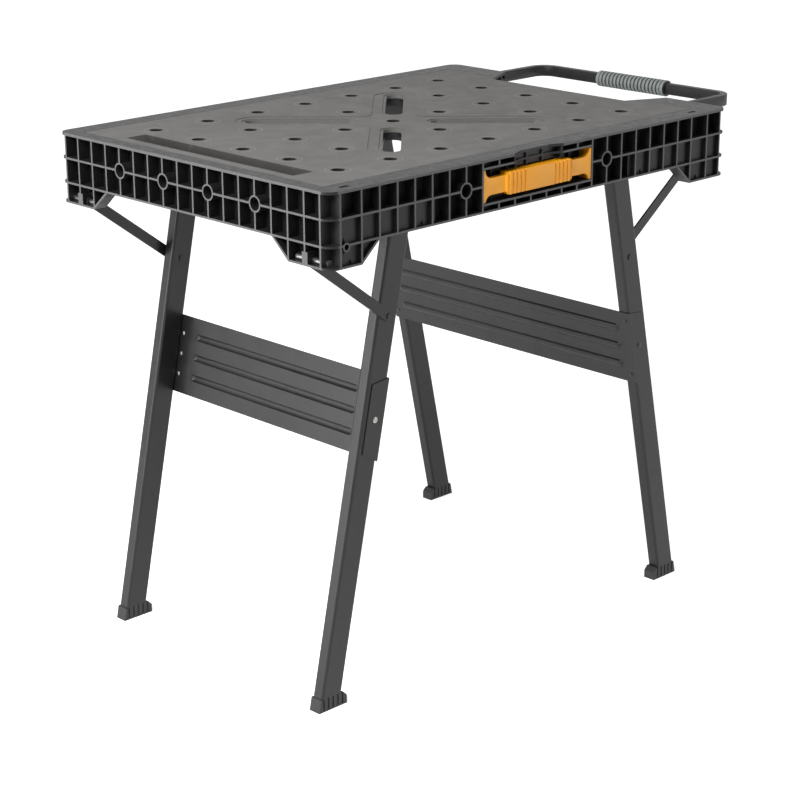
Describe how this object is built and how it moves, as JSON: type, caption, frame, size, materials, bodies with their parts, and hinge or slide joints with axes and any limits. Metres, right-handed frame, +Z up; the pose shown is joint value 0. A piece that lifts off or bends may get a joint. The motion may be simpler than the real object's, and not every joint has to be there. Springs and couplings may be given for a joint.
{
  "type": "folding workbench",
  "caption": "Folding workbench: ribbed plastic top with dog holes, clamp slots and a parts tray, on two pairs of folding steel legs, with a carry handle and a pull-out bail.",
  "frame": {"origin": "on the floor under the middle of the top", "axes": "+X from the parts tray to the bail, +Y from the carry handle's side to the back, +Z up"},
  "size_m": [0.9935, 0.6035, 0.78],
  "materials": {
    "deck": "matte, fine grain",
    "rim": "satin, moulded",
    "yellow": "satin, moulded",
    "steel": "satin powder coat",
    "plate": "satin powder coat",
    "bare": "zinc plated",
    "feet": "matte",
    "bail": "satin powder coat",
    "grip": "satin"
  },
  "bodies": {
    "top": {"deck_panel": "deck", "deck_quarters": "deck", "deck_hub": "deck", "slot_rails": "deck", "slot_ends": "deck", "parts_tray": "deck", "hole_sleeves": "deck", "deck_ribs": "deck", "rim_left": "rim", "rim_right": "rim", "rim_front": "rim", "rim_back": "rim", "carry_handle": "yellow", "handle_screws": "bare", "strut_pins": "bare", "left_tracks": "plate", "right_tracks": "plate", "bail_guides": "plate"},
    "left_struts": {"left_front_strut": "steel", "left_back_strut": "steel", "left_strut_rivets": "bare"},
    "left_legs": {"left_front_leg": "steel", "left_back_leg": "steel", "left_front_foot": "feet", "left_back_foot": "feet", "left_stretcher": "steel", "left_stretcher_rivets": "bare", "left_track_pins": "bare"},
    "right_struts": {"right_front_strut": "steel", "right_back_strut": "steel", "right_strut_rivets": "bare"},
    "right_legs": {"right_front_leg": "steel", "right_back_leg": "steel", "right_front_foot": "feet", "right_back_foot": "feet", "right_stretcher": "steel", "right_stretcher_rivets": "bare", "right_track_pins": "bare"},
    "bail": {"bail_bar": "bail", "bail_grip": "grip", "bail_stops": "bail"}
  },
  "joints": [
    {"name": "right_strut_swing", "type": "hinge", "parent": "top", "child": "right_struts", "pos_m": [0.37833, 0, 0.68], "axis": [0, 1, 0], "range_deg": [0, 46.61]},
    {"name": "right_leg_swing", "type": "hinge", "parent": "right_struts", "child": "right_legs", "pos_m": [0.22939, 0, 0.569], "axis": [0, 1, 0], "range_deg": [0, 55.39]},
    {"name": "left_strut_swing", "type": "hinge", "parent": "top", "child": "left_struts", "pos_m": [-0.41167, 0, 0.68], "axis": [0, -1, 0], "range_deg": [0, 45.99]},
    {"name": "left_leg_swing", "type": "hinge", "parent": "left_struts", "child": "left_legs", "pos_m": [-0.26272, 0, 0.569], "axis": [0, -1, 0], "range_deg": [0, 56.01]},
    {"name": "bail_slide", "type": "slide", "parent": "top", "child": "bail", "axis": [-1, 0, 0], "range_m": [0, 0.125]}
  ],
  "couplings": [
    {"joint": "right_leg_swing", "follows": "right_strut_swing", "ratio": 1.1881},
    {"joint": "left_strut_swing", "follows": "right_strut_swing", "ratio": 0.98658},
    {"joint": "left_leg_swing", "follows": "right_strut_swing", "ratio": 1.2016}
  ]
}
